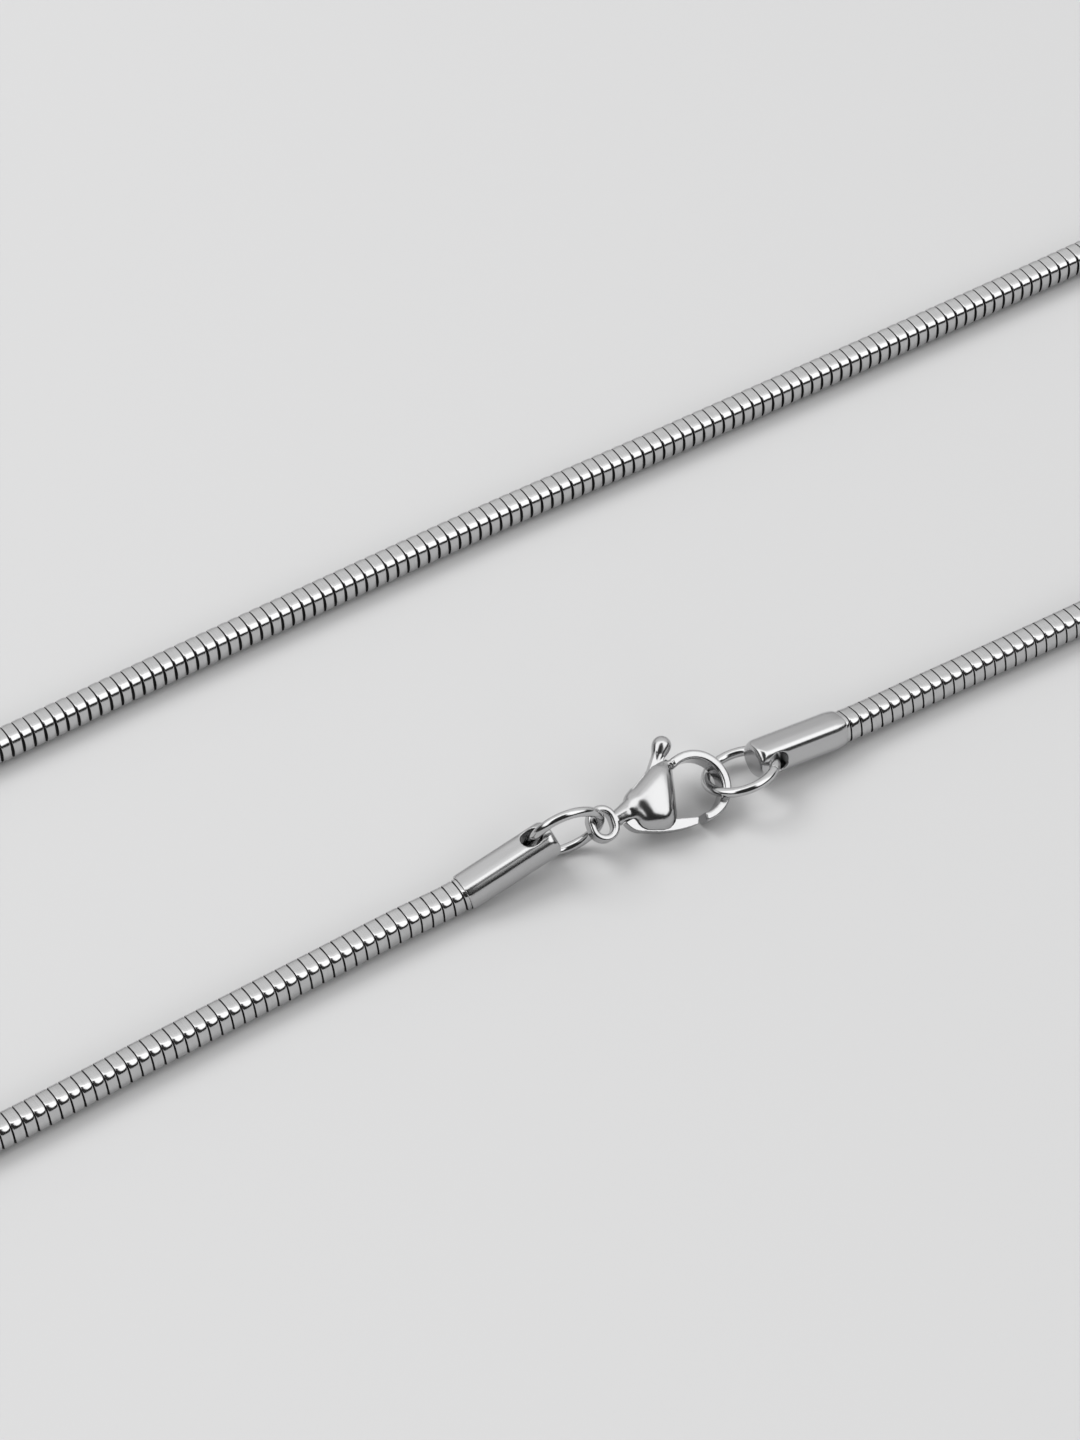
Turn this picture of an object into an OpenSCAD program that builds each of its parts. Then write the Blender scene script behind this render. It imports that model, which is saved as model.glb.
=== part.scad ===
// Snake chain necklace with a lobster clasp, closed and laid down flat.
// All lengths are in millimetres and all angles in degrees.
// The surface it lies on is z = 0, and the two long strands run along X.

/* [Chain] */
// Width of the chain across its flats
chain_w = 2.4; // [1.6:0.1:3]
// Rounding of the chain's four long edges
chain_edge_r = 0.8; // [0.3:0.05:0.8]

/* [End caps] */
// Length of an end cap
cap_l = 8.4; // [7:0.1:11]
// Thickness of the cap's wall round the chain
cap_wall = 0.15; // [0.1:0.01:0.3]
// Rounding of the cap's four long edges
cap_edge_r = 0.65; // [0.4:0.05:0.9]
// Depth to which the chain's end sits in its cap
cap_seat_l = 3; // [1:0.1:4]
// Rounding of the cap's closed end
cap_end_r = 0.7; // [0.3:0.05:0.9]
// Diameter of the cross hole for the jump ring
cap_hole_d = 1.8; // [1.6:0.05:1.9]
// Distance from the cap's closed end to the middle of its cross hole
cap_hole_inset = 1.65; // [1.4:0.05:2]

/* [Jump rings] */
// Diameter of the rings' wire
ring_wire_d = 0.7; // [0.6:0.05:0.85]
// Inside diameter of a jump ring
ring_bore_d = 5.15; // [4.8:0.05:5.6]

/* [Clasp eye] */
// Width of the oval hole in the clasp's eye
eye_hole_w = 1.3; // [1.1:0.05:1.5]
// How much longer than wide that hole is
eye_stretch = 0.5; // [0.3:0.05:0.7]
// Thickness of the metal round the hole
eye_wall = 0.6; // [0.5:0.05:0.8]
// Height of the eye
eye_t = 1.2; // [1:0.1:1.6]

/* [Clasp shell] */
// Distance from the eye's middle to the lever's pin
pin_u = 3.3; // [3.1:0.05:3.5]
// Thickness of the shell at its fullest
shell_t = 2.9; // [2.6:0.1:3.3]
// Width of the slot that the lever swings in
slot_w = 1.05; // [0.95:0.01:1.2]
// Diameter of the lever's pin
pin_d = 0.7; // [0.5:0.05:0.8]

/* [Clasp hook] */
// Distance from the eye's middle to the middle of the hook's bow
hook_u = 8.35; // [8.2:0.05:8.5]
// Offset of the bow's middle towards the thumb side
hook_v = 0.6; // [0.5:0.05:0.7]
// Inside diameter of the bow
hook_bore_d = 4.4; // [4.3:0.05:4.6]
// Radial thickness of the bow
hook_wall = 0.75; // [0.65:0.05:0.9]
// Height of the bow
hook_t = 1.9; // [1.6:0.05:2]
// Rounding of the bow's long edges
hook_edge_r = 0.22; // [0.1:0.02:0.3]

/* [Clasp lever] */
// Thickness of the lever
lever_t = 0.9; // [0.7:0.01:0.93]
// Radial clearance between the lever and its pin
pin_gap = 0.04; // [0.02:0.01:0.08]
// Width of the gate's tip, which closes the bow
gate_w = 0.5; // [0.4:0.02:0.6]
// Gap between the gate and the tip of the bow
gate_gap = 0.35; // [0.2:0.05:0.5]
// Diameter of the thumb knob
knob_d = 1.4; // [1.1:0.05:1.6]
// Distance from the pin to the middle of the knob
knob_reach = 5.9; // [5.6:0.05:6.2]

/* [Hidden] */
$fn = 64;
steel = [0.78, 0.78, 0.79];
bright_steel = [0.84, 0.84, 0.85];
// Overlap of solids that are one piece of metal
weld = 0.05;
// Clearance between the chain and the inside of its cap
seat_gap = 0.05;
// Moves the whole necklace so that its footprint is centred on the origin
centring = [0, 1.26, 0];

// Places of the fittings: headings about Z, rises above level, and rolls.
// The clasp's X runs from the middle of its eye to its bow.
clasp_heading = -5.4;
clasp_lean = 30.2;
// A ring leans from lying flat about its heading.
ring_left_heading = -8.8;
ring_left_lean = -79;
ring_right_heading = 11;
ring_right_lean = -23.8;
// A cap's X runs from the middle of its mouth to its closed end.
cap_left_heading = 0.8;
cap_left_roll = 1.5;
cap_right_heading = 179.5;
cap_right_roll = 16.2;
// The left ring stands nearly upright on the surface, at this x, y and lift.
ring_left_stand = [-11.67, -16.28, 0.02];
// Directions from the left ring's middle to the clasp's eye and from the bow's
// inside to the right ring's middle, and ways to the cap holes as shares of
// the rings' radius
RING_TO_EYE = [0.9752, -0.1732, -0.1379];
BOW_TO_RING = [0.9807, -0.1594, 0.1132];
RING_TO_LEFT_CAP = [-0.901, 0.106, -0.16];
RING_TO_RIGHT_CAP = [0.974, 0.051, 0.048];
// How far the left ring hangs off the eye's middle as a share of its play, and
// the right ring off the bow's inside as a share of the bow's height
eye_play = 0.32;
bow_play = 0.497;
// How far the bow's edge lies under the corner that rounds it off, as a share
// of its rounding
edge_lift = 0.1;

// Route of the chain's middle from the left cap round to the right cap:
// x, y, lift above lying flat, and roll about its own length.
ROUTE = [
    [-27, -16.1, 0.1, 6], [-35, -16.3, 0, 9], [-48, -16.7, 0, 12],
    [-61, -17.2, 0, 12], [-74, -17.2, 0, 6], [-86, -16.9, 0, 0],
    [-97.9, -12, 0, 0], [-102.8, -0.1, 0, 0], [-97.9, 11.8, 0, 0],
    [-86, 16.6, 0, 0], [-73, 16.4, 0, -4], [-59, 16.3, 0, -8],
    [-44, 16.3, 0, -9], [-29, 16.6, 0, -8], [-14, 16.8, 0, -6],
    [1, 16.9, 0, -5], [15, 16.7, 0, -4], [30, 16.6, 0, -4],
    [44, 16.5, 0, -4], [58, 16.5, 0, -4], [72, 16.6, 0, -2],
    [86, 16.5, 0, 0], [97.9, 11.5, 0, 0], [102.8, -0.4, 0, 0],
    [97.9, -12.3, 0, 0], [86, -17.3, 0, 0], [73, -17.8, 0, 3],
    [59, -18, 0, 6], [46, -18, 0, 8], [34, -17.9, 0, 9],
    [22, -17.6, 0.03, 11]];
// Rings of the chain's tube in each stretch of the route
ROUTE_STEPS = 2;

// Half the width of the chain, less its rounded edges
chain_flat = chain_w / 2 - chain_edge_r;
cap_w = chain_w + 2 * (seat_gap + cap_wall);
cap_flat = cap_w / 2 - cap_edge_r;
ring_r = (ring_bore_d + ring_wire_d) / 2;
hook_mid_r = (hook_bore_d + hook_wall) / 2;
// Rounding of the eye's edges as a share of its wall
eye_rounding = 0.4;
eye_edge_r = eye_wall * eye_rounding;
// Metal of the lever's hub round its pin, and how far its rim stands out of it
hub_wall = 0.6;
rim_reach = 0.65;
lever_hub_r = pin_d / 2 + hub_wall;
lever_rim_r = lever_hub_r + rim_reach;
// Directions seen from the pin or from the bow's middle, clasp's X as zero
knob_turn = 51;
lever_swing = 22;
bow_tip_turn = -93;
bow_root_turn = 122;
// Swells of the shell: place along, as a share of the way from the pin to the
// bow's root, place across from the bow's middle as a share of the bow's
// radius, and diameter as a share of shell_t
SHELL_SWELLS = [[0.0336, 0.059, 0.82], [0.158, -0.428, 0.93],
                [0.419, -0.505, 0.98], [0.668, 0.6, 0.84], [0.854, 0.873, 0.52]];
root_way = hook_u + hook_mid_r * cos(bow_root_turn) - pin_u;
// Swells of the neck: places along and across as shares of pin_u
NECK_SWELLS = [[0.38, 0.03, 0.42], [0.911, 0.126, 0.72]];
shell_swells = [for (s = SHELL_SWELLS)
    [pin_u + s[0] * root_way, hook_v + s[1] * hook_mid_r, s[2] * shell_t]];
neck_swells = [for (s = NECK_SWELLS) [s[0] * pin_u, s[1] * pin_u, s[2] * shell_t]];
// Length of the pin as a share of the shell's thickness
pin_share = 0.6;
// Direction at which the lever's rim starts behind the pin, and its clearance
rim_turn = 197;
slot_turn = 5;
// Direction behind the pin from which the slot lets the gate arm out
gate_out_turn = 240;
// Width of the lever's knob arm and its clearance in the slot
knob_arm_w = 0.9;
slot_gap = 0.12;
// The gate arm's lower edge is an arc: its lowest point from the pin, radius
gate_arc_u = 3.5;
gate_low = 2.32;
gate_arc_r = 10;
// Upper edge of the gate arm's web, where the gate's finger begins, and how
// far the web's edge slants there
gate_roof = 1.2;
web_reach = 1.9;
web_slant = 0.3;
// Width of the web behind the pin
web_back = 0.2;
// Corner of the gate's finger, as shares of its tip's place
GATE_CORNER = [0.78, 0.88];
// Where the knob's neck begins, as a share of the way from the pin to the
// shell's last swell, and its thickness there as a share of the lever's
neck_start = 0.994;
neck_thick = 0.96;
knob_neck_at = neck_start
    * norm([shell_swells[4][0] - pin_u, shell_swells[4][1]]);
// Facets of small round forms, and of the gate's long arc
small_round = 32;
long_round = 256;
// A length that reaches past the whole clasp from the pin
past_clasp = hook_u + hook_mid_r;
// Reach of the gate's tip from the pin, which stops short of the bow's tip
bow_tip = [hook_u - pin_u + (hook_mid_r - hook_wall / 2) * cos(bow_tip_turn),
           hook_v + (hook_mid_r - hook_wall / 2) * sin(bow_tip_turn)];
gate_tip_r = norm(bow_tip) - gate_gap;

// Height of the chain's middle when it lies at a roll
function rest_height(roll) =
    chain_edge_r + chain_flat * (abs(sin(roll)) + cos(roll));
function unit(v) = v / norm(v);
function heading_dir(heading, rise) =
    [cos(rise) * cos(heading), cos(rise) * sin(heading), sin(rise)];

// The clasp's Y, from its heading, rise and lean
function thumb_dir(heading, rise, lean) =
    let (x = -sin(rise) * sin(lean), y = cos(lean))
    [x * cos(heading) - y * sin(heading), x * sin(heading) + y * cos(heading),
     cos(rise) * sin(lean)];

// The left ring stands on the surface, and the clasp's eye hangs in it
ring_left_at = ring_left_stand
    + [0, 0, ring_r * abs(sin(ring_left_lean)) + ring_wire_d / 2];
clasp_at = ring_left_at
    + (ring_r + eye_play * (eye_hole_w - ring_wire_d)) * RING_TO_EYE;
// The lower edge of the bow's tip lies on the surface, which sets the rise
bow_out_r = hook_mid_r + hook_wall / 2;
bow_edge_u = hook_u + bow_out_r * cos(bow_tip_turn);
bow_edge_z = (hook_v + bow_out_r * sin(bow_tip_turn)) * sin(clasp_lean)
    - hook_t / 2 * cos(clasp_lean);
clasp_rise = asin((-edge_lift * hook_edge_r - clasp_at[2])
                  / norm([bow_edge_u, bow_edge_z])) - atan2(bow_edge_z, bow_edge_u);
// The right ring hangs in the bow
bow_inside = clasp_at
    + (hook_u + hook_bore_d / 2) * heading_dir(clasp_heading, clasp_rise)
    + hook_v * thumb_dir(clasp_heading, clasp_rise, clasp_lean);
ring_right_at = bow_inside + (ring_r - bow_play * hook_t) * BOW_TO_RING;
// A cap's mouth lies on the surface, and the ring holds up its hole
function cap_rise(hole, roll) =
    asin((hole[2] - cap_edge_r - cap_flat * (abs(sin(roll)) + cos(roll)))
         / (cap_l - cap_hole_inset));
cap_left_hole = ring_left_at + ring_r * RING_TO_LEFT_CAP;
cap_right_hole = ring_right_at + ring_r * RING_TO_RIGHT_CAP;
cap_left_rise = cap_rise(cap_left_hole, cap_left_roll);
cap_right_rise = cap_rise(cap_right_hole, cap_right_roll);
cap_left_dir = heading_dir(cap_left_heading, cap_left_rise);
cap_right_dir = heading_dir(cap_right_heading, cap_right_rise);
cap_left_at = cap_left_hole - (cap_l - cap_hole_inset) * cap_left_dir;
cap_right_at = cap_right_hole - (cap_l - cap_hole_inset) * cap_right_dir;

// The route with a seat in each cap: points of [x, y, z, roll]
function with_roll(p, roll) = [p[0], p[1], p[2], roll];
function laid(p) = [p[0], p[1], rest_height(p[3]) + p[2], p[3]];
chain_points = concat(
    [with_roll(cap_left_at + cap_seat_l * cap_left_dir, -cap_left_roll),
     with_roll(cap_left_at, -cap_left_roll)],
    [for (p = ROUTE) laid(p)],
    [with_roll(cap_right_at, cap_right_roll),
     with_roll(cap_right_at + cap_seat_l * cap_right_dir, cap_right_roll)]);
function place(i) = [for (k = [0:2]) chain_points[i][k]];
last_point = len(chain_points) - 1;

// Direction of the route at a point, from its neighbours
function route_dir(i) =
    i == 0 ? unit(place(1) - place(0)) :
    i == last_point ? unit(place(i) - place(i - 1)) :
    let (before = place(i) - place(i - 1), after = place(i + 1) - place(i))
    unit(unit(before) * norm(after) + unit(after) * norm(before));

// Point on the smooth curve between point i and the next, t from 0 to 1
function route_at(i, t) =
    let (span = norm(place(i + 1) - place(i)),
         t2 = t * t,
         t3 = t2 * t)
    (2 * t3 - 3 * t2 + 1) * place(i) + (t3 - 2 * t2 + t) * span * route_dir(i)
    + (3 * t2 - 2 * t3) * place(i + 1) + (t3 - t2) * span * route_dir(i + 1);
function roll_at(i, t) =
    chain_points[i][3] * (1 - t) + chain_points[i + 1][3] * t;

// Outline of the chain: three points on each rounded edge
quarter = 90;
chain_outline = [for (corner = [0:3]) for (step = [0, 0.5, 1])
    let (turn = (corner + step) * quarter,
         middle = [chain_flat * (corner == 0 || corner == 3 ? 1 : -1),
                   chain_flat * (corner < 2 ? 1 : -1)])
    middle + chain_edge_r * [cos(turn), sin(turn)]];
function ring_of_points(middle, dir, roll) =
    let (side = unit(cross([0, 0, 1], dir)), up = cross(dir, side))
    [for (q = chain_outline)
        middle + side * (q[0] * cos(roll) - q[1] * sin(roll))
               + up * (q[0] * sin(roll) + q[1] * cos(roll))];
chain_samples = concat(
    [for (i = [0:last_point - 1]) for (s = [0:ROUTE_STEPS - 1])
        [i, s / ROUTE_STEPS]],
    [[last_point - 1, 1]]);
// A place on the route, never lower than lying flat at its roll
function sample_roll(k) = roll_at(chain_samples[k][0], chain_samples[k][1]);
function sample_place(k) =
    let (p = route_at(chain_samples[k][0], chain_samples[k][1]))
    [p[0], p[1], max(p[2], rest_height(sample_roll(k)))];
last_sample = len(chain_samples) - 1;
function sample_dir(k) =
    unit(sample_place(min(k + 1, last_sample)) - sample_place(max(k - 1, 0)));

// The chain as one smooth tube of its outer form
module chain() {
    sides = len(chain_outline);
    points = [for (k = [0:last_sample])
        for (p = ring_of_points(sample_place(k), sample_dir(k),
                                sample_roll(k)))
            p];
    walls = [for (k = [0:last_sample - 1]) for (j = [0:sides - 1])
        let (a = k * sides + j, b = k * sides + (j + 1) % sides)
        each [[a, b + sides, b], [a, a + sides, b + sides]]];
    first_end = [for (j = [0:sides - 1]) j];
    last_end = [for (j = [0:sides - 1]) (last_sample + 1) * sides - 1 - j];
    color(steel)
        translate(centring)
            polyhedron(points, concat(walls, [first_end], [last_end]),
                       convexity = len(ROUTE));
}

// Bar along X with a rounded square section
module rounded_bar(width, edge_r, length) {
    flat = width - 2 * edge_r;
    rotate([90, 0, 90])
        linear_extrude(length)
            union() {
                square([width, flat], center = true);
                square([flat, width], center = true);
                for (x = [-flat / 2, flat / 2])
                    for (y = [-flat / 2, flat / 2])
                        translate([x, y])
                            circle(edge_r);
            }
}

// Round bar along X whose far end has a rounded rim
module round_ended_bar(radius, rim_r, length) {
    rotate([0, 90, 0])
        rotate_extrude()
            union() {
                square([radius - rim_r, length]);
                square([radius, length - rim_r]);
                translate([radius - rim_r, length - rim_r])
                    intersection() {
                        circle(rim_r);
                        square(rim_r);
                    }
            }
}

// End cap along X: mouth at the origin, closed end with its cross hole at +X
module end_cap(hole_turn) {
    reach = cap_edge_r + cap_flat * sqrt(2);
    difference() {
        intersection() {
            rounded_bar(cap_w, cap_edge_r, cap_l);
            round_ended_bar(reach, cap_end_r, cap_l);
        }
        translate([-weld, 0, 0])
            rounded_bar(chain_w + 2 * seat_gap, chain_edge_r + seat_gap,
                        cap_seat_l + seat_gap + weld);
        translate([cap_l - cap_hole_inset, 0, 0])
            rotate([hole_turn, 0, 0])
                cylinder(d = cap_hole_d, h = 2 * cap_w, center = true);
    }
}

// Cap on the left strand, with its cross hole upright
module end_cap_left() {
    color(steel)
        translate(centring + cap_left_at)
            rotate([0, -cap_left_rise, cap_left_heading])
                rotate([cap_left_roll, 0, 0])
                    end_cap(0);
}

// Cap on the right strand, with its cross hole lying across
module end_cap_right() {
    color(steel)
        translate(centring + cap_right_at)
            rotate([0, -cap_right_rise, cap_right_heading])
                rotate([cap_right_roll, 0, 0])
                    end_cap(90);
}

module jump_ring() {
    rotate_extrude()
        translate([ring_r, 0])
            circle(d = ring_wire_d, $fn = small_round);
}

// Ring that joins the left cap to the clasp's eye
module jump_ring_left() {
    color(bright_steel)
        translate(centring + ring_left_at)
            rotate([ring_left_lean, 0, ring_left_heading])
                jump_ring();
}

// Ring on the right cap that the clasp hooks into
module jump_ring_right() {
    color(bright_steel)
        translate(centring + ring_right_at)
            rotate([ring_right_lean, 0, ring_right_heading])
                jump_ring();
}

// Frame of the clasp: eye at the origin, bow along X, thumb side along Y
module clasp_place() {
    translate(centring + clasp_at)
        rotate([0, 0, clasp_heading])
            rotate([0, -clasp_rise, 0])
                rotate([clasp_lean, 0, 0])
                    children();
}

// Turns the lever by an angle about its pin
module about_pin(turn = 0) {
    translate([pin_u, 0, 0])
        rotate([0, 0, turn])
            children();
}

// Rectangle with rounded corners, its middle at the origin
module rounded_rect(width, height, r) {
    union() {
        square([width, height - 2 * r], center = true);
        square([width - 2 * r, height], center = true);
        for (x = [-1, 1])
            for (y = [-1, 1])
                translate([x * (width / 2 - r), y * (height / 2 - r)])
                    circle(r, $fn = small_round);
    }
}

// Oval eye that the left ring passes through
module eye() {
    middle_r = (eye_hole_w + eye_wall) / 2;
    for (side = [0, 180])
        rotate([0, 0, side]) {
            translate([0, eye_stretch / 2, 0])
                rotate_extrude(angle = 180)
                    translate([middle_r, 0])
                        rounded_rect(eye_wall, eye_t, eye_edge_r);
            translate([middle_r, 0, 0])
                rotate([90, 0, 0])
                    linear_extrude(eye_stretch, center = true)
                        rounded_rect(eye_wall, eye_t, eye_edge_r);
        }
}

// The bow of the hook: an arc from its tip to its root in the shell
module bow() {
    translate([hook_u, hook_v, 0])
        rotate([0, 0, bow_tip_turn])
            rotate_extrude(angle = bow_root_turn - bow_tip_turn)
                translate([hook_mid_r, 0])
                    rounded_rect(hook_wall, hook_t, hook_edge_r);
}

// Smooth body over a row of swells
module swollen(swells) {
    hull($fn = small_round)
        for (s = swells)
            translate([s[0], s[1], 0])
                sphere(d = s[2], $fn = small_round);
}

// Where the lever's knob arm, hub and gate arm pass, seen along the pin
module slot_outline() {
    far = past_clasp;
    sweep = knob_turn + lever_swing;
    side = knob_arm_w / 2 + slot_gap;
    roof = gate_roof - slot_gap;
    circle(lever_hub_r + slot_gap);
    polygon([seen_at(0, -side, knob_turn), seen_at(far, -side, knob_turn),
             seen_at(far, 0, knob_turn + lever_swing / 2),
             seen_at(far, side, sweep), seen_at(0, side, sweep)]);
    intersection() {
        circle(lever_rim_r + slot_gap);
        polygon([[0, 0], seen_at(far, 0, rim_turn - slot_turn), [-far, -far],
                 [far, -far]]);
    }
    intersection() {
        circle(gate_tip_r + slot_gap);
        polygon([[0, 0], seen_at(lever_hub_r, 0, lever_swing + slot_turn),
                 seen_at(web_reach, -roof, lever_swing),
                 seen_at(far, -roof, lever_swing), [far, -far],
                 seen_at(far, 0, gate_out_turn)]);
    }
}

// A point at x, y in axes turned about the pin
function seen_at(x, y, turn) =
    [x * cos(turn) - y * sin(turn), x * sin(turn) + y * cos(turn)];

// Body of the clasp in one casting: eye, shell with its slot and pin, and bow
module clasp_body() {
    color(bright_steel)
        clasp_place()
            union() {
                eye();
                difference() {
                    union() {
                        swollen(shell_swells);
                        swollen(neck_swells);
                        bow();
                    }
                    about_pin()
                        linear_extrude(slot_w, center = true)
                            slot_outline();
                }
                about_pin()
                    cylinder(d = pin_d, h = shell_t * pin_share, center = true);
            }
}

// Rim that runs under the shell, and the arm that closes the bow as its gate
module gate_arm() {
    tip_v = gate_w - gate_low;
    intersection() {
        circle(lever_rim_r);
        polygon([[0, 0], seen_at(2 * lever_rim_r, 0, rim_turn),
                 [-2 * lever_rim_r, -2 * lever_rim_r],
                 [lever_rim_r, -2 * lever_rim_r]]);
    }
    intersection() {
        translate([gate_arc_u, gate_arc_r - gate_low])
            circle(gate_arc_r, $fn = long_round);
        circle(gate_tip_r);
        polygon([[-web_back, 0], [lever_hub_r, 0],
                 [web_reach - web_slant, -gate_roof], [web_reach, -gate_roof],
                 [gate_tip_r * GATE_CORNER[0], tip_v * GATE_CORNER[1]],
                 [gate_tip_r, tip_v], [gate_tip_r, -gate_low],
                 [-web_back, -gate_low]]);
    }
}

// Arm that carries the thumb knob
module knob_arm() {
    rotate([0, 0, knob_turn])
        translate([0, -knob_arm_w / 2])
            square([knob_reach, knob_arm_w]);
}

// Thumb knob, a drop shape that thickens to its end
module knob() {
    rotate([0, 0, knob_turn])
        hull($fn = small_round) {
            translate([knob_reach, 0, 0])
                sphere(d = knob_d, $fn = small_round);
            translate([knob_neck_at, 0, 0])
                sphere(d = lever_t * neck_thick, $fn = small_round);
        }
}

// Lever: hub on the pin, gate arm, and knob arm with its knob
module clasp_lever() {
    color(bright_steel)
        clasp_place()
            about_pin()
                difference() {
                    union() {
                        linear_extrude(lever_t, center = true)
                            union() {
                                circle(lever_hub_r);
                                gate_arm();
                                knob_arm();
                            }
                        knob();
                    }
                    cylinder(r = pin_d / 2 + pin_gap, h = 2 * lever_t,
                             center = true);
                }
}

chain();
end_cap_left();
end_cap_right();
jump_ring_left();
jump_ring_right();
clasp_body();
clasp_lever();
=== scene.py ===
import math
import bpy
import numpy as np
from mathutils import Matrix, Vector


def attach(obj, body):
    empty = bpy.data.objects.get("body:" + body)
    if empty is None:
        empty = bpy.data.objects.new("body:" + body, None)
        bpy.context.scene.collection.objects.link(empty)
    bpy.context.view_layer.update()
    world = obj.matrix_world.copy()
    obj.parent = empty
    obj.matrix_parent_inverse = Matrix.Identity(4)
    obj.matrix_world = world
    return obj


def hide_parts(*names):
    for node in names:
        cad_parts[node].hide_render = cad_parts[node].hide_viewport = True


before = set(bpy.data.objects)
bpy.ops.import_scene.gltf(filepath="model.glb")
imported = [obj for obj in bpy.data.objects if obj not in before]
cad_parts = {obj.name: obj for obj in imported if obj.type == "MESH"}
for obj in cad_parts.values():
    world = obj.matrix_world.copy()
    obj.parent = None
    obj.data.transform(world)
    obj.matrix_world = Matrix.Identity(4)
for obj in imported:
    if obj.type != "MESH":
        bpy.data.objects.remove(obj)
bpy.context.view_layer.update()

# Camera: a long lens that looks down at the clasp from 50 degrees above the
# table, with the two strands running away to the upper right.
look_heading, look_down = math.radians(31.5), math.radians(50)
look = Vector((math.cos(look_down) * math.sin(look_heading),
               math.cos(look_down) * math.cos(look_heading), -math.sin(look_down)))
looked_at, camera_distance = Vector((-0.0065, -0.00274, 0.0012)), 0.3609
lens = bpy.data.cameras.new("lens")
lens.sensor_width = 36
lens.lens = 112.1
lens.clip_start, lens.clip_end = 0.01, 40
camera = bpy.data.objects.new("camera", lens)
camera.location = looked_at - camera_distance * look
camera.rotation_mode = "QUATERNION"
camera.rotation_quaternion = look.to_track_quat("-Z", "Y")
bpy.context.collection.objects.link(camera)
scene = bpy.context.scene
scene.camera = camera
scene.view_settings.view_transform = "Standard"

# Light: a small tent of white cloth, in shade where it slopes down behind the
# necklace. The camera looks in through its open side, so the tent is dark round
# and below the camera and low down at the sides. Two soft lamps light the table.
tent = bpy.data.worlds.new("light tent")
scene.world = tent
tent.use_nodes = True
tent_nodes, tent_links = tent.node_tree.nodes, tent.node_tree.links
towards = tent_nodes.new("ShaderNodeTexCoord").outputs["Generated"]


def tent_math(operation, *inputs):
    """A math node of the tent; its inputs are outputs of other nodes or numbers."""
    node = tent_nodes.new("ShaderNodeMath")
    node.operation = operation
    for socket, value in zip(node.inputs, inputs):
        if isinstance(value, (int, float)):
            socket.default_value = value
        else:
            tent_links.new(value, socket)
    return node.outputs[0]


def tent_towards(direction):
    """How nearly a direction of the tent points along the given one."""
    node = tent_nodes.new("ShaderNodeVectorMath")
    node.operation = "DOT_PRODUCT"
    node.inputs[1].default_value = direction
    tent_links.new(towards, node.inputs[0])
    return node.outputs["Value"]


def tent_edge(value, dark, light):
    """Soft edge of a dark part: 0 at the value dark and 1 at the value light."""
    node = tent_nodes.new("ShaderNodeMapRange")
    node.interpolation_type = "SMOOTHSTEP"
    node.inputs["From Min"].default_value = dark
    node.inputs["From Max"].default_value = light
    tent_links.new(value, node.inputs["Value"])
    return node.outputs["Result"]


# Folds of the cloth push the edges between its tones to and fro
tone_folds, patch_folds, low_folds = 0.12, 0.12, 0.15
folds = tent_nodes.new("ShaderNodeTexNoise")
folds.inputs["Scale"].default_value = 5
folds.inputs["Detail"].default_value = 3
tent_links.new(towards, folds.inputs["Vector"])
fold = tent_math("SUBTRACT", folds.outputs["Fac"], 0.5)

# Degrees over the table from the camera's side, and how bright the cloth is there
tent_tones = ((0, 0.9), (60, 1.0), (96, 1.0), (108, 0.64),
              (125, 0.52), (150, 0.47), (179, 0.28))
height = tent_towards((0, 0, 1))
camera_side = tent_towards((-math.sin(look_heading), -math.cos(look_heading), 0))
arc = tent_math("DIVIDE", tent_math("ARCTAN2", height, camera_side), math.pi)
cloth = tent_nodes.new("ShaderNodeValToRGB")
tent_links.new(tent_math("MULTIPLY_ADD", fold, tone_folds, arc), cloth.inputs[0])
for _ in tent_tones[2:]:
    cloth.color_ramp.elements.new(0.5)
for stop, (place, grey) in zip(cloth.color_ramp.elements, tent_tones):
    stop.position = place / 180
    stop.color = (grey, grey, grey, 1)

# The round patch ends 28 to 36 degrees from the camera, and further out on the
# left and the right the cloth hangs down beside it
patch = tent_edge(tent_math("MULTIPLY_ADD", fold, patch_folds, tent_towards(-look)),
                  dark=0.885, light=0.81)
slant_on_right = 0.8
to_the_right = tent_towards((math.cos(look_heading), -math.sin(look_heading), 0))
past_right = tent_edge(tent_math("MULTIPLY_ADD", height, slant_on_right, to_the_right),
                       dark=0.93, light=1.05)
past_left = tent_edge(to_the_right, dark=-0.4, light=-0.54)
beside = tent_math("MAXIMUM", past_right, past_left)
round_camera = tent_math("MAXIMUM", patch, beside)
under_camera = tent_math("MAXIMUM", tent_edge(height, dark=0.7, light=0.8), beside)
low_down = tent_edge(tent_math("MULTIPLY_ADD", fold, low_folds, height), dark=0.34, light=0.5)
near_side = tent_math("MULTIPLY", low_down, under_camera)
far_side = tent_edge(camera_side, dark=-0.15, light=-0.6)
hung = tent_math("MULTIPLY", round_camera, tent_math("MAXIMUM", near_side, far_side))

# The dark parts aren't quite black, and past the table's far edge the tent's
# floor is as pale as the table looks there
dark_share, floor_share = 0.02, 0.3
cloth_seen = tent_math("MULTIPLY_ADD", hung, 1 - dark_share, dark_share)
over_table = tent_math("MULTIPLY_ADD", tent_math("GREATER_THAN", height, 0),
                       1 - floor_share, floor_share)
shaded = tent_nodes.new("ShaderNodeVectorMath")
shaded.operation = "SCALE"
tent_links.new(cloth.outputs["Color"], shaded.inputs[0])
tent_links.new(tent_math("MULTIPLY", cloth_seen, over_table), shaded.inputs["Scale"])
tent_links.new(shaded.outputs[0], tent_nodes["Background"].inputs["Color"])
tent_nodes["Background"].inputs["Strength"].default_value = 1.9

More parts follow.
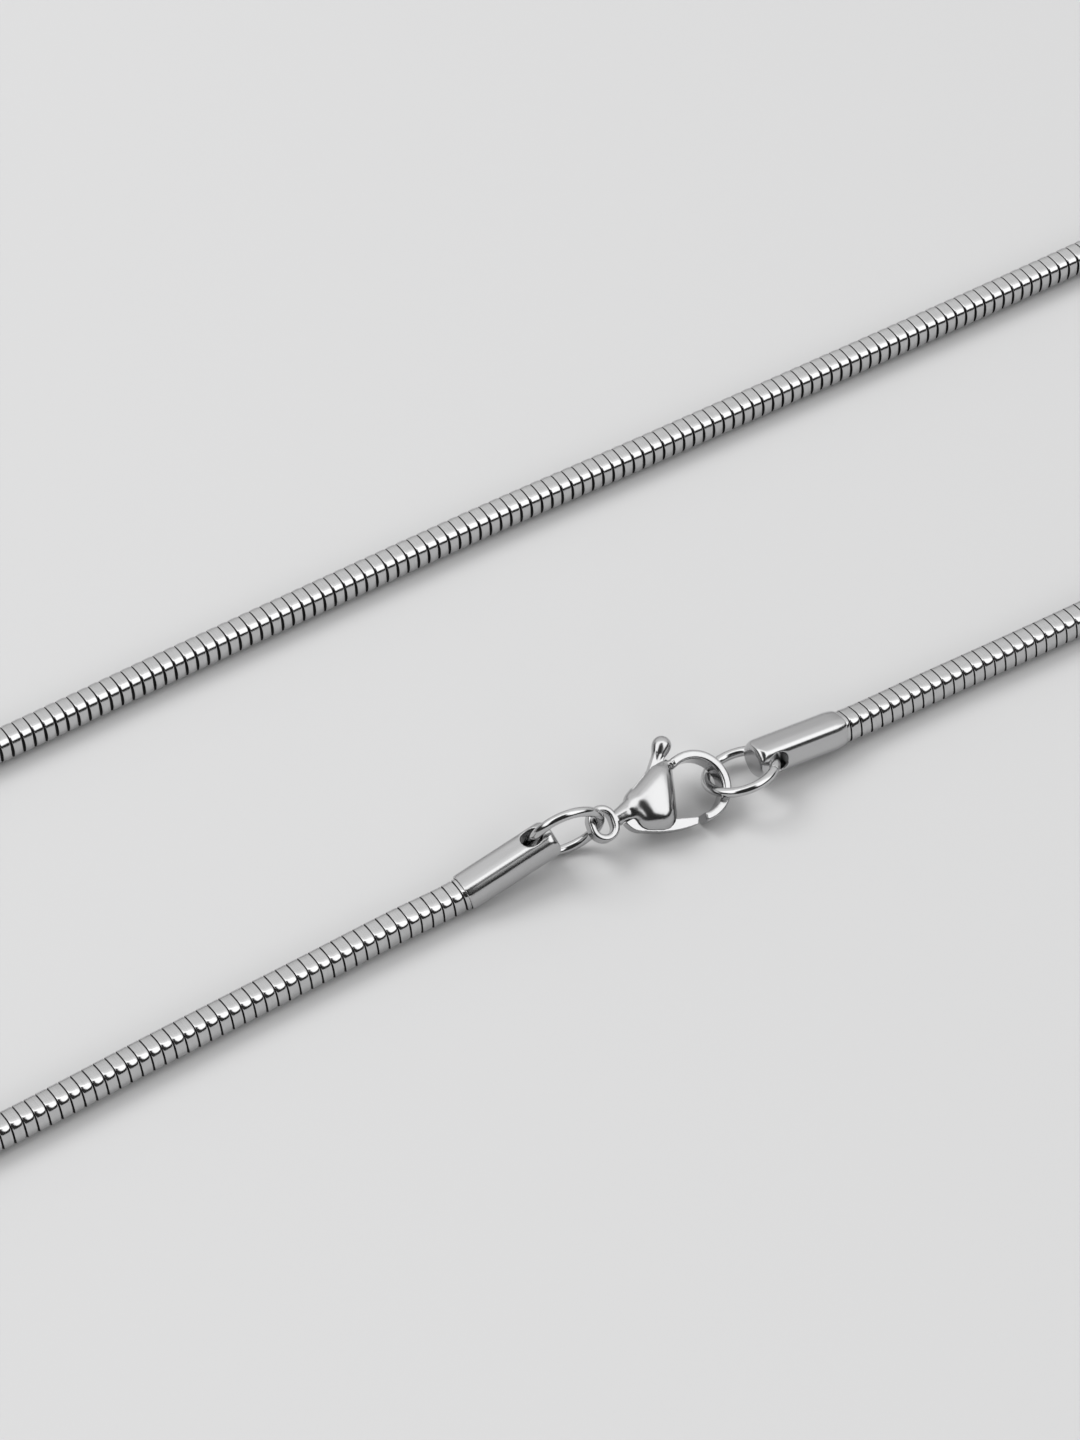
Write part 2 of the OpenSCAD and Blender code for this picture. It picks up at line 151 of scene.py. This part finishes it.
for name, place, across, watts in (("soft_lamp", (-0.28, 0.5, 0.72), 0.46, 4.0),
                                   ("fill_lamp", (-0.45, -0.7, 0.34), 0.6, 2.6)):
    lamp = bpy.data.lights.new(name, "AREA")
    lamp.shape = "DISK"
    lamp.size, lamp.energy = across, watts
    hung_lamp = bpy.data.objects.new(name, lamp)
    hung_lamp.location = place
    hung_lamp.rotation_euler = (-hung_lamp.location).to_track_quat("-Z", "Y").to_euler()
    hung_lamp.visible_glossy = False
    bpy.context.collection.objects.link(hung_lamp)

# Table: a large smooth pale board, a hair below the necklace. It isn't part of
# the necklace.
board_half, board_drop = 12, 2e-5
board = bpy.data.materials.new("pale board")
board.use_nodes = True
board_shader = board.node_tree.nodes["Principled BSDF"]
board_shader.inputs["Base Color"].default_value = (0.495, 0.495, 0.497, 1)
board_shader.inputs["Roughness"].default_value = 0.75
board_shader.inputs["Specular IOR Level"].default_value = 0.1
board_mesh = bpy.data.meshes.new("table")
board_mesh.from_pydata([(-board_half, -board_half, -board_drop),
                        (board_half, -board_half, -board_drop),
                        (board_half, board_half, -board_drop),
                        (-board_half, board_half, -board_drop)], [], [(0, 1, 2, 3)])
table = bpy.data.objects.new("table", board_mesh)
table.data.materials.append(board)
bpy.context.collection.objects.link(table)

# Chain: a square snake chain of about 414 bands of thin stainless strip, each
# bent round into a square with soft edges and hooked into the next one by its
# tucked-in half. The bands are tumbled bright; the dark of their seams is painted shade.
mm = 0.001
chain_w, chain_edge_r, band_pitch = 2.4 * mm, 0.8 * mm, 1.0 * mm
chain_flat = chain_w / 2 - chain_edge_r
centring = np.array([0, 1.26, 0]) * mm
cap_left_at, cap_left_heading, cap_left_rise = (-20.918, -16.062, 1.419), 0.8, 11.571
cap_right_at, cap_right_heading, cap_right_rise = (13.389, -17.519, 1.579), 179.5, 6.907
cap_left_roll, cap_right_roll, cap_seat = -4.5, 16.2, 3.0
# Middle of the chain: x, y and lift above lying flat in mm, and roll in degrees
route = [
    (-27, -16.1, 0.1, 6), (-35, -16.3, 0, 9), (-48, -16.7, 0, 12),
    (-61, -17.2, 0, 12), (-74, -17.2, 0, 6), (-86, -16.9, 0, 0),
    (-97.9, -12, 0, 0), (-102.8, -0.1, 0, 0), (-97.9, 11.8, 0, 0),
    (-86, 16.6, 0, 0), (-73, 16.4, 0, -4), (-59, 16.3, 0, -8),
    (-44, 16.3, 0, -9), (-29, 16.6, 0, -8), (-14, 16.8, 0, -6),
    (1, 16.9, 0, -5), (15, 16.7, 0, -4), (30, 16.6, 0, -4),
    (44, 16.5, 0, -4), (58, 16.5, 0, -4), (72, 16.6, 0, -2),
    (86, 16.5, 0, 0), (97.9, 11.5, 0, 0), (102.8, -0.4, 0, 0),
    (97.9, -12.3, 0, 0), (86, -17.3, 0, 0), (73, -17.8, 0, 3),
    (59, -18, 0, 6), (46, -18, 0, 8), (34, -17.9, 0, 9),
    (22, -17.6, 0.03, 11)]


def heading_dir(heading, rise):
    """Direction of a heading over the table and a rise above it, in degrees."""
    heading, rise = math.radians(heading), math.radians(rise)
    return np.array([math.cos(rise) * math.cos(heading),
                     math.cos(rise) * math.sin(heading), math.sin(rise)])


def rest_height(roll):
    """Height of the chain's middle where it lies on the table, rolled in degrees."""
    roll = np.radians(roll)
    return chain_edge_r + chain_flat * (np.abs(np.sin(roll)) + np.cos(roll))


mouth_left, mouth_right = np.array(cap_left_at) * mm, np.array(cap_right_at) * mm
seat_left = mouth_left + cap_seat * mm * heading_dir(cap_left_heading, cap_left_rise)
seat_right = mouth_right + cap_seat * mm * heading_dir(cap_right_heading, cap_right_rise)
points = np.array(
    [(*seat_left, -cap_left_roll), (*mouth_left, -cap_left_roll)]
    + [(x * mm, y * mm, rest_height(roll) + lift * mm, roll) for x, y, lift, roll in route]
    + [(*mouth_right, cap_right_roll), (*seat_right, cap_right_roll)])
places, rolls = points[:, :3], points[:, 3]
spans = np.linalg.norm(np.diff(places, axis=0), axis=1)
ways = np.diff(places, axis=0) / spans[:, None]
tangents = np.vstack([ways[:1], ways[:-1] * spans[1:, None] + ways[1:] * spans[:-1, None],
                      ways[-1:]])
tangents /= np.linalg.norm(tangents, axis=1)[:, None]
# The middle runs through the points in smooth curves and never sinks into the table
steps_per_span = 200
fine = []
for i, span in enumerate(spans):
    t = np.linspace(0, 1, steps_per_span, endpoint=i == len(spans) - 1)[:, None]
    middle = ((2 * t**3 - 3 * t**2 + 1) * places[i] + (t**3 - 2 * t**2 + t) * span * tangents[i]
              + (3 * t**2 - 2 * t**3) * places[i + 1] + (t**3 - t**2) * span * tangents[i + 1])
    roll = rolls[i] * (1 - t) + rolls[i + 1] * t
    middle[:, 2] = np.maximum(middle[:, 2], rest_height(roll[:, 0]))
    fine.append(np.hstack([middle, roll]))
fine = np.vstack(fine)
run = np.concatenate([[0], np.cumsum(np.linalg.norm(np.diff(fine[:, :3], axis=0), axis=1))])
fine_dir = np.gradient(fine[:, :3], axis=0)
fine_dir /= np.linalg.norm(fine_dir, axis=1)[:, None]


def laid_along(s, across, above):
    """Points at s along the chain, moved across and above its middle."""
    middle = np.stack([np.interp(s, run, fine[:, k]) for k in range(3)], -1)
    ahead = np.stack([np.interp(s, run, fine_dir[:, k]) for k in range(3)], -1)
    ahead /= np.linalg.norm(ahead, axis=-1)[..., None]
    roll = np.radians(np.interp(s, run, fine[:, 3]))
    side = np.cross((0, 0, 1), ahead)
    side /= np.linalg.norm(side, axis=-1)[..., None]
    up = np.cross(ahead, side)
    a = across * np.cos(roll) - above * np.sin(roll)
    b = across * np.sin(roll) + above * np.cos(roll)
    return middle + centring + side * a[..., None] + up * b[..., None]


def soft_square(turn, half, power):
    """Distance from the middle to a soft square's edge in the direction of turn."""
    return half / (np.abs(np.cos(turn))**power + np.abs(np.sin(turn))**power)**(1 / power)


# Outline of one band: a soft square whose points crowd on the corners. Two of
# the corners swell like pillows between their seams, and the other two dip.
outline_points, squareness, crowding = 40, 3.2, 0.09
pillow_on_face, pillow, dip = 0.012 * mm, 0.05 * mm, 0.03 * mm
pillow_lean = math.radians(26)
even_turn = np.arange(outline_points) * 2 * math.pi / outline_points
turn = even_turn + crowding * np.sin(4 * even_turn)
edge = soft_square(turn, chain_w / 2, squareness)
outline = np.stack([edge * np.cos(turn), edge * np.sin(turn)], -1)
outward = np.sign(outline) * np.abs(outline)**(squareness - 1)
outward /= np.linalg.norm(outward, axis=1)[:, None]
girth = np.concatenate([[0], np.cumsum(np.linalg.norm(np.diff(outline, axis=0), axis=1))])
swelling = np.clip(np.sin(2 * turn + pillow_lean), 0, 1)**3
dipping = np.clip(-np.sin(2 * turn - pillow_lean), 0, 1)**3

# Each seam is thin on the top, wider on the sides, where the chain opens as it
# bends, and wider again at the foot of the outer side.
seam_flat, seam_outer_side, seam_inner_side = 0.07 * mm, 0.13 * mm, 0.25 * mm
seam_foot = 0.14 * mm
on_outer_side = np.cos(turn) > 0
sideways = np.cos(turn)**2
at_foot = np.abs(np.sin(2 * turn))**3 * on_outer_side * (np.sin(turn) < 0)
seam = (seam_flat + (np.where(on_outer_side, seam_outer_side, seam_inner_side) - seam_flat)
        * sideways + seam_foot * at_foot)

# Rows of points over a band's width, from one seam to the next: place as a
# share of the half width, and how far the strip has rolled down there.
rows = np.array([-1, -0.94, -0.8, -0.55, -0.28, 0, 0.28, 0.55, 0.8, 0.94, 1])
seam_round, seam_depth, strip_depth = 0.03 * mm, 0.22 * mm, 0.34 * mm
rolled = np.abs(rows) ** 2.4
rounding = np.where(np.abs(rows) > 0.99, seam_round,
                    np.where(np.abs(rows) > 0.9, seam_round * 0.2, 0))

# The first and the last band start a little inside the chain's ends
end_inset = 0.4 * mm
first, last = end_inset, run[-1] - end_inset
count = int(round((last - first) / band_pitch))
pitch = (last - first) / count
band_middle = first + (np.arange(count) + 0.5) * pitch
band_tone = np.random.default_rng(7).uniform(0, 1, count)


def chain_bands(name, which, steel, seam_painted_shade):
    """One mesh of closed bands: crowned outside, seam walls and tucked-in inside."""
    k, n = len(outline), len(rows)
    half = (pitch - seam) / 2
    inset = (pillow_on_face * rolled[:, None] + rounding[:, None]
             + pillow * swelling[None, :] * rolled[:, None]
             + dip * dipping[None, :] * (1 - rolled[:, None]))
    ring_s = rows[:, None] * half[None, :]
    rings = [(ring_s[0], inset[0] + strip_depth)]
    rings += [(ring_s[r], inset[r]) for r in range(n)]
    rings += [(ring_s[-1], inset[-1] + strip_depth)]
    s = np.array([r[0] for r in rings])[None] + band_middle[which][:, None, None]
    q = outline[None] - outward[None] * np.array([r[1] for r in rings])[..., None]
    q = np.broadcast_to(q[None], (len(which),) + q.shape)
    verts = laid_along(s, q[..., 0], q[..., 1]).reshape(-1, 3)
    m = len(rings)
    faces, finish = [], []
    for b in range(len(which)):
        base = b * m * k
        for r in range(m):
            low, high = base + r * k, base + (r + 1) % m * k
            for j in range(k):
                faces.append((low + j, high + j, high + (j + 1) % k, low + (j + 1) % k))
            # The seam walls and the tucked-in inside take the painted seam shade; the outside is
            # steel.
            finish += [0 if 1 <= r <= n - 1 else 1] * k
    mesh = bpy.data.meshes.new(name)
    mesh.from_pydata(verts.tolist(), [], faces)
    mesh.materials.append(steel)
    mesh.materials.append(seam_painted_shade)
    mesh.polygons.foreach_set("material_index", finish)
    mesh.polygons.foreach_set("use_smooth", [True] * len(faces))
    mesh.set_sharp_from_angle(angle=math.radians(48))
    grain_place = np.stack([s / mm, np.broadcast_to(girth / mm, s.shape),
                            np.broadcast_to(band_tone[which][:, None, None], s.shape)], -1)
    grain = mesh.attributes.new("strip_place", "FLOAT_VECTOR", "POINT")
    grain.data.foreach_set("vector", grain_place.reshape(-1).astype(np.float32))
    mesh.update()
    bands = bpy.data.objects.new(name, mesh)
    bpy.context.collection.objects.link(bands)
    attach(bands, "necklace")
    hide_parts("chain")


# Fine marks of tumbling and brushing: a stretched grain that changes the
# roughness, the brightness and the height of a steel surface a little.
marks = bpy.data.node_groups.new("fine marks", "ShaderNodeTree")
for socket, kind, start in (("Place", "NodeSocketVector", None),
                            ("Grain", "NodeSocketVector", None),
                            ("Roughness", "NodeSocketFloat", 0.15),
                            ("Spread", "NodeSocketFloat", 0.1),
                            ("Steel", "NodeSocketColor", None),
                            ("Shade", "NodeSocketFloat", 0.1)):
    made = marks.interface.new_socket(socket, in_out="INPUT", socket_type=kind)
    if start is not None:
        made.default_value = start
for socket, kind in (("Roughness", "NodeSocketFloat"), ("Color", "NodeSocketColor"),
                     ("Height", "NodeSocketFloat")):
    marks.interface.new_socket(socket, in_out="OUTPUT", socket_type=kind)
marks_in, marks_out = marks.nodes.new("NodeGroupInput"), marks.nodes.new("NodeGroupOutput")
stretched = marks.nodes.new("ShaderNodeVectorMath")
stretched.operation = "MULTIPLY"
marks.links.new(marks_in.outputs["Place"], stretched.inputs[0])
marks.links.new(marks_in.outputs["Grain"], stretched.inputs[1])
grain_noise = marks.nodes.new("ShaderNodeTexNoise")
grain_noise.inputs["Scale"].default_value = 1
grain_noise.inputs["Detail"].default_value = 3
grain_noise.inputs["Roughness"].default_value = 0.6
marks.links.new(stretched.outputs[0], grain_noise.inputs["Vector"])
centred = marks.nodes.new("ShaderNodeMath")
centred.operation = "SUBTRACT"
centred.inputs[1].default_value = 0.5
marks.links.new(grain_noise.outputs["Fac"], centred.inputs[0])
rougher = marks.nodes.new("ShaderNodeMath")
rougher.operation = "MULTIPLY_ADD"
marks.links.new(centred.outputs[0], rougher.inputs[0])
marks.links.new(marks_in.outputs["Spread"], rougher.inputs[1])
marks.links.new(marks_in.outputs["Roughness"], rougher.inputs[2])
darker = marks.nodes.new("ShaderNodeMath")
darker.operation = "MULTIPLY_ADD"
darker.inputs[2].default_value = 1
marks.links.new(centred.outputs[0], darker.inputs[0])
marks.links.new(marks_in.outputs["Shade"], darker.inputs[1])
tinted = marks.nodes.new("ShaderNodeVectorMath")
tinted.operation = "SCALE"
marks.links.new(marks_in.outputs["Steel"], tinted.inputs[0])
marks.links.new(darker.outputs[0], tinted.inputs["Scale"])
marks.links.new(rougher.outputs[0], marks_out.inputs["Roughness"])
marks.links.new(tinted.outputs[0], marks_out.inputs["Color"])
marks.links.new(grain_noise.outputs["Fac"], marks_out.inputs["Height"])


def steel_finish(name, tone, rough, spread, shade, grain, dent, place_name=None):
    """A steel material: its own tone and roughness, marked by the fine grain."""
    finish = bpy.data.materials.new(name)
    finish.use_nodes = True
    nodes, links = finish.node_tree.nodes, finish.node_tree.links
    shader = nodes["Principled BSDF"]
    shader.inputs["Metallic"].default_value = 1
    marked = nodes.new("ShaderNodeGroup")
    marked.node_tree = marks
    marked.inputs["Grain"].default_value = grain
    marked.inputs["Roughness"].default_value = rough
    marked.inputs["Spread"].default_value = spread
    marked.inputs["Steel"].default_value = (*tone, 1)
    marked.inputs["Shade"].default_value = shade
    if place_name:
        source = nodes.new("ShaderNodeAttribute")
        source.attribute_name = place_name
        links.new(source.outputs["Vector"], marked.inputs["Place"])
    else:
        source = nodes.new("ShaderNodeTexCoord")
        links.new(source.outputs["Object"], marked.inputs["Place"])
    links.new(marked.outputs["Roughness"], shader.inputs["Roughness"])
    links.new(marked.outputs["Color"], shader.inputs["Base Color"])
    bump = nodes.new("ShaderNodeBump")
    bump.inputs["Strength"].default_value = 0.5
    bump.inputs["Distance"].default_value = dent
    links.new(marked.outputs["Height"], bump.inputs["Height"])
    links.new(bump.outputs["Normal"], shader.inputs["Normal"])
    return finish


tumbled = steel_finish("tumbled steel strip", tone=(0.55, 0.55, 0.552), rough=0.13,
                       spread=0.10, shade=0.20, grain=(9, 0.5, 3), dent=4e-6,
                       place_name="strip_place")
# Painted shade: the near-black seam walls, band insides and sleeve stand in for the shade deep in
# the seams.
painted_seam_shade = bpy.data.materials.new("painted shade of the seams")
painted_seam_shade.use_nodes = True
painted_seam_shader = painted_seam_shade.node_tree.nodes["Principled BSDF"]
painted_seam_shader.inputs["Base Color"].default_value = (0.012, 0.012, 0.0125, 1)
painted_seam_shader.inputs["Metallic"].default_value = 0.2
painted_seam_shader.inputs["Roughness"].default_value = 0.6
painted_seam_shader.inputs["Specular IOR Level"].default_value = 0.2

quarters = np.array_split(np.arange(count), 4)
for name, which in zip(("chain_bands_left", "chain_bands_back_left", "chain_bands_back_right",
                        "chain_bands_right"), quarters):
    chain_bands(name, which, tumbled, painted_seam_shade)

# The tucked-in halves of the bands make a sleeve in painted shade that shows in the seams.
sleeve_rings, k = 450, len(outline)
sleeve_s = np.linspace(first, last, sleeve_rings)
sleeve_q = outline - outward * seam_depth
sleeve_points = laid_along(np.repeat(sleeve_s[:, None], k, 1),
                           np.tile(sleeve_q[:, 0], (sleeve_rings, 1)),
                           np.tile(sleeve_q[:, 1], (sleeve_rings, 1))).reshape(-1, 3)
sleeve_faces = [(i * k + j, (i + 1) * k + j, (i + 1) * k + (j + 1) % k, i * k + (j + 1) % k)
                for i in range(sleeve_rings - 1) for j in range(k)]
sleeve_faces += [tuple(range(k)),
                 tuple(range(sleeve_rings * k - 1, (sleeve_rings - 1) * k - 1, -1))]
sleeve_mesh = bpy.data.meshes.new("chain_sleeve_painted_shade")
sleeve_mesh.from_pydata(sleeve_points.tolist(), [], sleeve_faces)
sleeve_mesh.materials.append(painted_seam_shade)
sleeve = bpy.data.objects.new("chain_sleeve_painted_shade", sleeve_mesh)
bpy.context.collection.objects.link(sleeve)
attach(sleeve, "necklace")
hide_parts("chain")

# End caps: drawn square tubes of stainless steel with one end closed and a
# cross hole drilled for the ring, tumbled until all their edges are soft, and
# squeezed onto the chain's ends. The right one tapers where it was squeezed.
cap_w, cap_edge_r, squeeze_length = 2.8 * mm, 0.65 * mm, 1.1 * mm
bore_room, bore_round, bore_depth, wall_blend = 0.05 * mm, 0.02 * mm, 3.1 * mm, 0.1 * mm


def skin_points(piece):
    """The points of a piece's mesh as an array of rows."""
    skin = np.empty(len(piece.data.vertices) * 3)
    piece.data.vertices.foreach_get("co", skin)
    return skin.reshape(-1, 3)


def tumbled_copy(node, name, skin, rounds, steel, body):
    """A copy of a node with a fine skin of its own, whose edges are worn soft."""
    shape = bpy.data.meshes.new(name)
    shape.from_pydata([v.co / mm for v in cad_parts[node].data.vertices], [],
                      [tuple(p.vertices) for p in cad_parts[node].data.polygons])
    piece = bpy.data.objects.new(name, shape)
    bpy.context.collection.objects.link(piece)
    fine_skin = piece.modifiers.new("fine skin", "REMESH")
    fine_skin.mode = "VOXEL"
    fine_skin.voxel_size = skin
    fine_skin.use_smooth_shade = True
    worn = piece.modifiers.new("tumbling", "SMOOTH")
    worn.factor = 0.5
    worn.iterations = rounds
    shape = bpy.data.meshes.new_from_object(
        piece.evaluated_get(bpy.context.evaluated_depsgraph_get()))
    piece.modifiers.clear()
    shape.transform(Matrix.Scale(mm, 4))
    shape.name = name
    piece.data = shape
    shape.materials.clear()
    shape.materials.append(steel)
    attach(piece, body)
    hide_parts(node)
    return piece


satin = steel_finish("satin cap steel", tone=(0.51, 0.51, 0.513), rough=0.19,
                     spread=0.08, shade=0.10, grain=(250, 2200, 2200), dent=2.5e-7)
for name, node, at, heading, rise, cad_roll, roll, cap_squareness, squeeze in (
        ("cap_left", "end_cap_left", cap_left_at, cap_left_heading, cap_left_rise,
         1.5, cap_left_roll, 3, 0.015),
        ("cap_right", "end_cap_right", cap_right_at, cap_right_heading, cap_right_rise,
         16.2, cap_right_roll, 3.5, 0.085)):
    cap = tumbled_copy(node, name, 0.055, 22, satin, "necklace")
    mouth = np.array(at) * mm + centring
    inward = heading_dir(heading, rise)
    side = np.cross((0, 0, 1), inward)
    side /= np.linalg.norm(side)
    lid = np.cross(inward, side)
    skin = skin_points(cap) - mouth
    depth, reach = skin @ inward, np.hypot(skin @ side, skin @ lid)
    turn = np.arctan2(skin @ lid, skin @ side) - math.radians(cad_roll)
    # The drawn square has flat faces with small round corners. Its outside is
    # worn to a softer square, and the bore stays as it is.
    flat, round_r = cap_w / 2 - cap_edge_r, cap_edge_r
    c, t = np.abs(np.cos(turn)), np.abs(np.sin(turn))
    on_face = np.minimum(c, t) * (flat + round_r) <= flat * np.maximum(c, t)
    along_corner = flat * (c + t)
    drawn = np.where(on_face, (flat + round_r) / np.maximum(c, t),
                     along_corner + np.sqrt(np.maximum(along_corner**2 - 2 * flat**2 + round_r**2,
                                                       0)))
    bore = soft_square(turn, chain_w / 2 + bore_room, squareness) + bore_round
    outer = np.where(depth > bore_depth, 1, np.clip((reach - bore) / wall_blend, 0, 1))
    worn_share = soft_square(turn, cap_w / 2, cap_squareness) / drawn
    taper = squeeze * np.clip(1 - depth / squeeze_length, 0, 1)**2
    reach = reach * (1 + outer * (worn_share * (1 - taper) - 1))
    turn += math.radians(roll)
    skin = (mouth + depth[:, None] * inward + (reach * np.cos(turn))[:, None] * side
            + (reach * np.sin(turn))[:, None] * lid)
    cap.data.vertices.foreach_set("co", skin.reshape(-1))
    cap.data.update()

# Jump rings: two rings of 0.8 mm round wire with their ends butted together.
# The left one stands nearly upright with its joint in the cap's hole, and the
# right one lies slanted with its joint just outside the hole.
ring_r, wire_r, wire_gap, end_round = 2.875 * mm, 0.4 * mm, 0.035 * mm, 0.04 * mm
wire_sides, wire_steps = 32, 220
half_gap, end_step = wire_gap / 2 / ring_r, end_round / ring_r
bright_wire = steel_finish("bright ring wire", tone=(0.53, 0.53, 0.533), rough=0.12,
                           spread=0.06, shade=0.10, grain=(3000, 3000, 3000), dent=2e-6)
for name, node, at, lean, heading, joint in (
        ("ring_left", "jump_ring_left", (-11.67, -16.28, 3.24126), -79, -8.8, 170),
        ("ring_right", "jump_ring_right", (3.8394, -17.6098, 2.2508), -23.8, 11, 300)):
    turns = np.concatenate([[half_gap, half_gap + 0.3 * end_step],
                            np.linspace(half_gap + end_step,
                                        2 * math.pi - half_gap - end_step, wire_steps),
                            [2 * math.pi - half_gap - 0.3 * end_step,
                             2 * math.pi - half_gap]]) + math.radians(joint)
    radii = np.full(len(turns), wire_r)
    radii[[0, -1]] -= end_round
    radii[[1, -2]] -= 0.3 * end_round
    round_wire = np.linspace(0, 2 * math.pi, wire_sides, endpoint=False)
    away = ring_r + radii[:, None] * np.cos(round_wire)[None]
    wire = np.stack([away * np.cos(turns)[:, None], away * np.sin(turns)[:, None],
                     radii[:, None] * np.sin(round_wire)[None]], -1).reshape(-1, 3)
    faces = [(i * wire_sides + j, (i + 1) * wire_sides + j,
              (i + 1) * wire_sides + (j + 1) % wire_sides, i * wire_sides + (j + 1) % wire_sides)
             for i in range(len(turns) - 1) for j in range(wire_sides)]
    faces += [tuple(range(wire_sides)),
              tuple(range(len(turns) * wire_sides - 1, (len(turns) - 1) * wire_sides - 1, -1))]
    mesh = bpy.data.meshes.new(name)
    mesh.from_pydata(wire.tolist(), [], faces)
    mesh.polygons.foreach_set("use_smooth", [True] * len(faces))
    mesh.set_sharp_from_angle(angle=math.radians(50))
    mesh.transform(Matrix.Translation(Vector(at) * mm + Vector(centring))
                   @ Matrix.Rotation(math.radians(heading), 4, "Z")
                   @ Matrix.Rotation(math.radians(lean), 4, "X"))
    mesh.materials.append(bright_wire)
    ring = bpy.data.objects.new(name, mesh)
    bpy.context.collection.objects.link(ring)
    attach(ring, "necklace")
    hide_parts(node)

# Clasp body: a lobster clasp cast in stainless steel, in one piece of eye,
# slotted shell and bow. It is ground and tumbled to a high polish that leaves
# faint waves, and a pin for the lever is pressed through the shell.
polished = steel_finish("polished steel casting", tone=(0.47, 0.47, 0.473), rough=0.19,
                        spread=0.06, shade=0.08, grain=(900, 900, 900), dent=2.5e-5)
clasp_axes = (Matrix.Translation((Vector((-8.6303, -16.8199, 2.81143)) * mm) + Vector(centring))
              @ Matrix.Rotation(math.radians(-5.4), 4, "Z")
              @ Matrix.Rotation(math.radians(5.903), 4, "Y")
              @ Matrix.Rotation(math.radians(30.2), 4, "X"))
casting = tumbled_copy("clasp_body", "clasp_casting", 0.055, 20, polished,
                       "necklace")
casting.data.transform(clasp_axes.inverted())
skin = skin_points(casting)
# Swells of the shell along and across from the eye's middle, and their radius.
# The shell is crowned by how far a point lies inside the outline round them.
shell_swells = np.array([(3.424, 0.752, 1.189), (3.882, -0.502, 1.349), (4.844, -0.700, 1.421),
                         (5.762, 2.145, 1.218), (6.447, 2.848, 0.754)]) * mm
crown_height, crown_base, crown_softness = 0.5 * mm, 0.2 * mm, 4
ways_out = np.radians(np.arange(0, 360, 3))
ways_out = np.stack([np.cos(ways_out), np.sin(ways_out)], -1)
edge_reach = (shell_swells[:, :2] @ ways_out.T + shell_swells[:, 2:]).max(0)
to_edge = edge_reach[None] - skin[:, :2] @ ways_out.T
off_slot = np.clip((np.abs(skin[:, 2]) - 0.6 * mm) / (0.3 * mm), 0, 1) * (to_edge.min(1) > 0)
inside = (np.maximum(to_edge / mm, 0.001)**-crown_softness).sum(1)**(-1 / crown_softness)
crown = crown_height * (1 - (1 - inside / inside.max())**2) - crown_base
skin[:, 2] += np.sign(skin[:, 2]) * crown * off_slot
casting.data.vertices.foreach_set("co", skin.reshape(-1))
# Only the shell's outside is ground rounder, from the neck up to the bow
neck_end, bow_start = 1.3 * mm, 7.2 * mm
on_shell = (np.clip((np.abs(skin[:, 2]) - 0.55 * mm) / (0.2 * mm), 0, 1)
            * np.clip((skin[:, 0] - neck_end) / (0.5 * mm), 0, 1)
            * np.clip((bow_start - skin[:, 0]) / (0.8 * mm), 0, 1))
ground = casting.vertex_groups.new(name="ground_round")
for share in range(1, 11):
    chosen = np.nonzero(np.round(on_shell * 10) == share)[0]
    ground.add(chosen.tolist(), share / 10, "REPLACE")
casting.data.transform(Matrix.Scale(1 / mm, 4))
grinding = casting.modifiers.new("grinding", "SMOOTH")
grinding.vertex_group = "ground_round"
grinding.factor, grinding.iterations = 0.5, 130
rounded = bpy.data.meshes.new_from_object(
    casting.evaluated_get(bpy.context.evaluated_depsgraph_get()))
casting.modifiers.clear()
rounded.transform(clasp_axes @ Matrix.Scale(mm, 4))
casting.data = rounded

# Lever: cast and polished like the body, with its hub on the pin, the gate that
# closes the bow and a thumb arm. The ball of its knob stands out from the arm.
knob, knob_swell = np.array((7.013, 4.585, 0)) * mm, 0.09 * mm
knob_reach, knob_blend = 1.05 * mm, 0.35 * mm
lever = tumbled_copy("clasp_lever", "clasp_lever_casting", 0.044, 12, polished,
                     "lever")
lever.data.transform(clasp_axes.inverted())
skin = skin_points(lever) - knob
reach = np.linalg.norm(skin, axis=1)
skin *= (1 + knob_swell * np.clip((knob_reach - reach) / knob_blend, 0, 1) / reach)[:, None]
lever.data.vertices.foreach_set("co", (skin + knob).reshape(-1))
lever.data.transform(clasp_axes)
